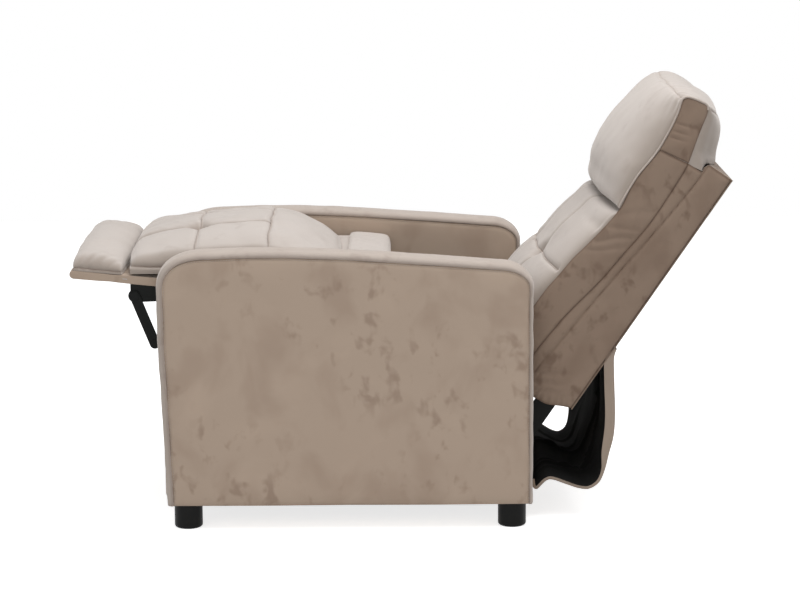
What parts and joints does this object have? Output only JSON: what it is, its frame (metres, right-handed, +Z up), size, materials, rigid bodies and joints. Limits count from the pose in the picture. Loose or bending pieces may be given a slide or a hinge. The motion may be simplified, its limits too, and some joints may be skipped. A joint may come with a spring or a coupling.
{
  "type": "reclining armchair",
  "caption": "Push-back reclining armchair with padded arms, tufted seat and back cushions, headrest pillow, fold-out footrest and round feet, shown reclined.",
  "frame": {"origin": "middle of the chair's bounding box, on the floor under the feet, in the reclined pose", "axes": "+Z up; the chair faces -Y, so +Y runs from the footrest to the headrest; +X across the chair"},
  "size_m": [0.68, 1.4015, 0.927],
  "materials": {
    "side_fabric": "velvet, greige",
    "boxing_fabric": "velvet, lighter strip",
    "cushion_fabric": "velvet, pale top",
    "back_fabric": "velvet, in shade",
    "flap_fabric": "woven, loose",
    "black_cloth": "non-woven, black",
    "black_metal": "satin black",
    "pin_steel": "zinc plated",
    "foot_plastic": "satin black",
    "frame_wood": "sawn pine"
  },
  "bodies": {
    "base": {"arm_core_left": "frame_wood", "arm_core_right": "frame_wood", "arm_outer_panel_left": "side_fabric", "arm_outer_panel_right": "side_fabric", "arm_inner_panel_left": "side_fabric", "arm_inner_panel_right": "side_fabric", "arm_boxing_left": "boxing_fabric", "arm_boxing_right": "boxing_fabric", "front_panel": "side_fabric", "rear_rail": "frame_wood", "dust_cover": "black_cloth", "foot_front_left": "foot_plastic", "foot_front_right": "foot_plastic", "foot_rear_left": "foot_plastic", "foot_rear_right": "foot_plastic", "foot_studs": "pin_steel", "base_rail_left": "black_metal", "base_rail_right": "black_metal", "front_cross_tube": "black_metal", "back_pivot_tube": "black_metal", "rail_bolts": "pin_steel", "base_pivot_pins": "pin_steel", "rear_flap": "flap_fabric"},
    "swing_front": {"swing_link_front_left": "black_metal", "swing_link_front_right": "black_metal"},
    "swing_rear": {"swing_link_rear_left": "black_metal", "swing_link_rear_right": "black_metal"},
    "carriage": {"carriage_plate_left": "black_metal", "carriage_plate_right": "black_metal", "seat_side_rail_left": "frame_wood", "seat_side_rail_right": "frame_wood", "seat_cross_rails": "frame_wood", "seat_webbing": "black_cloth", "seat_cushion": "cushion_fabric", "seat_rear_roll": "cushion_fabric", "carriage_pivot_pins": "pin_steel"},
    "footrest": {"footrest_board": "side_fabric", "foot_pad": "cushion_fabric", "footrest_bracket_left": "black_metal", "footrest_bracket_right": "black_metal", "footrest_pivot_pins": "pin_steel"},
    "slanting_links": {"slanting_link_left": "black_metal", "slanting_link_right": "black_metal"},
    "cranks": {"crank_tube": "black_metal", "crank_left": "black_metal", "crank_right": "black_metal", "crank_pins": "pin_steel"},
    "back": {"back_upright_left": "frame_wood", "back_upright_right": "frame_wood", "back_cross_rails": "frame_wood", "back_webbing": "black_cloth", "back_rear_cover": "back_fabric", "back_side_cover_left": "back_fabric", "back_side_cover_right": "back_fabric", "back_cushion": "cushion_fabric", "headrest": "cushion_fabric", "back_bracket_left": "black_metal", "back_bracket_right": "black_metal", "bracket_bolts": "pin_steel"}
  },
  "joints": [
    {"name": "back_recline", "type": "hinge", "parent": "base", "child": "back", "pos_m": [0, 0.24091, 0.15], "axis": [1, 0, 0], "range_deg": [0, 28], "deforming": ["rear_flap"]},
    {"name": "seat_swing", "type": "hinge", "parent": "base", "child": "swing_front", "pos_m": [0, -0.30909, 0.25], "axis": [1, 0, 0], "range_deg": [-60, 0]},
    {"name": "seat_level", "type": "hinge", "parent": "swing_front", "child": "carriage", "pos_m": [0, -0.26259, 0.36926], "axis": [1, 0, 0], "range_deg": [0, 60]},
    {"name": "rear_swing", "type": "hinge", "parent": "base", "child": "swing_rear", "pos_m": [0, -0.13909, 0.25], "axis": [1, 0, 0], "range_deg": [-60, 0]},
    {"name": "footrest_fold", "type": "hinge", "parent": "carriage", "child": "footrest", "pos_m": [0, -0.50409, 0.497], "axis": [1, 0, 0], "range_deg": [0, 90]},
    {"name": "footrest_crank", "type": "hinge", "parent": "carriage", "child": "cranks", "pos_m": [0, -0.46341, 0.39372], "axis": [1, 0, 0], "range_deg": [0, 90]},
    {"name": "footrest_link", "type": "hinge", "parent": "footrest", "child": "slanting_links", "pos_m": [0, -0.56105, 0.49501], "axis": [1, 0, 0], "range_deg": [-90, 0]}
  ],
  "couplings": [
    {"joint": "seat_level", "follows": "seat_swing", "ratio": -1},
    {"joint": "rear_swing", "follows": "seat_swing", "ratio": 1},
    {"joint": "footrest_fold", "follows": "seat_swing", "ratio": -1.5},
    {"joint": "footrest_crank", "follows": "seat_swing", "ratio": -1.5},
    {"joint": "footrest_link", "follows": "seat_swing", "ratio": 1.5}
  ]
}
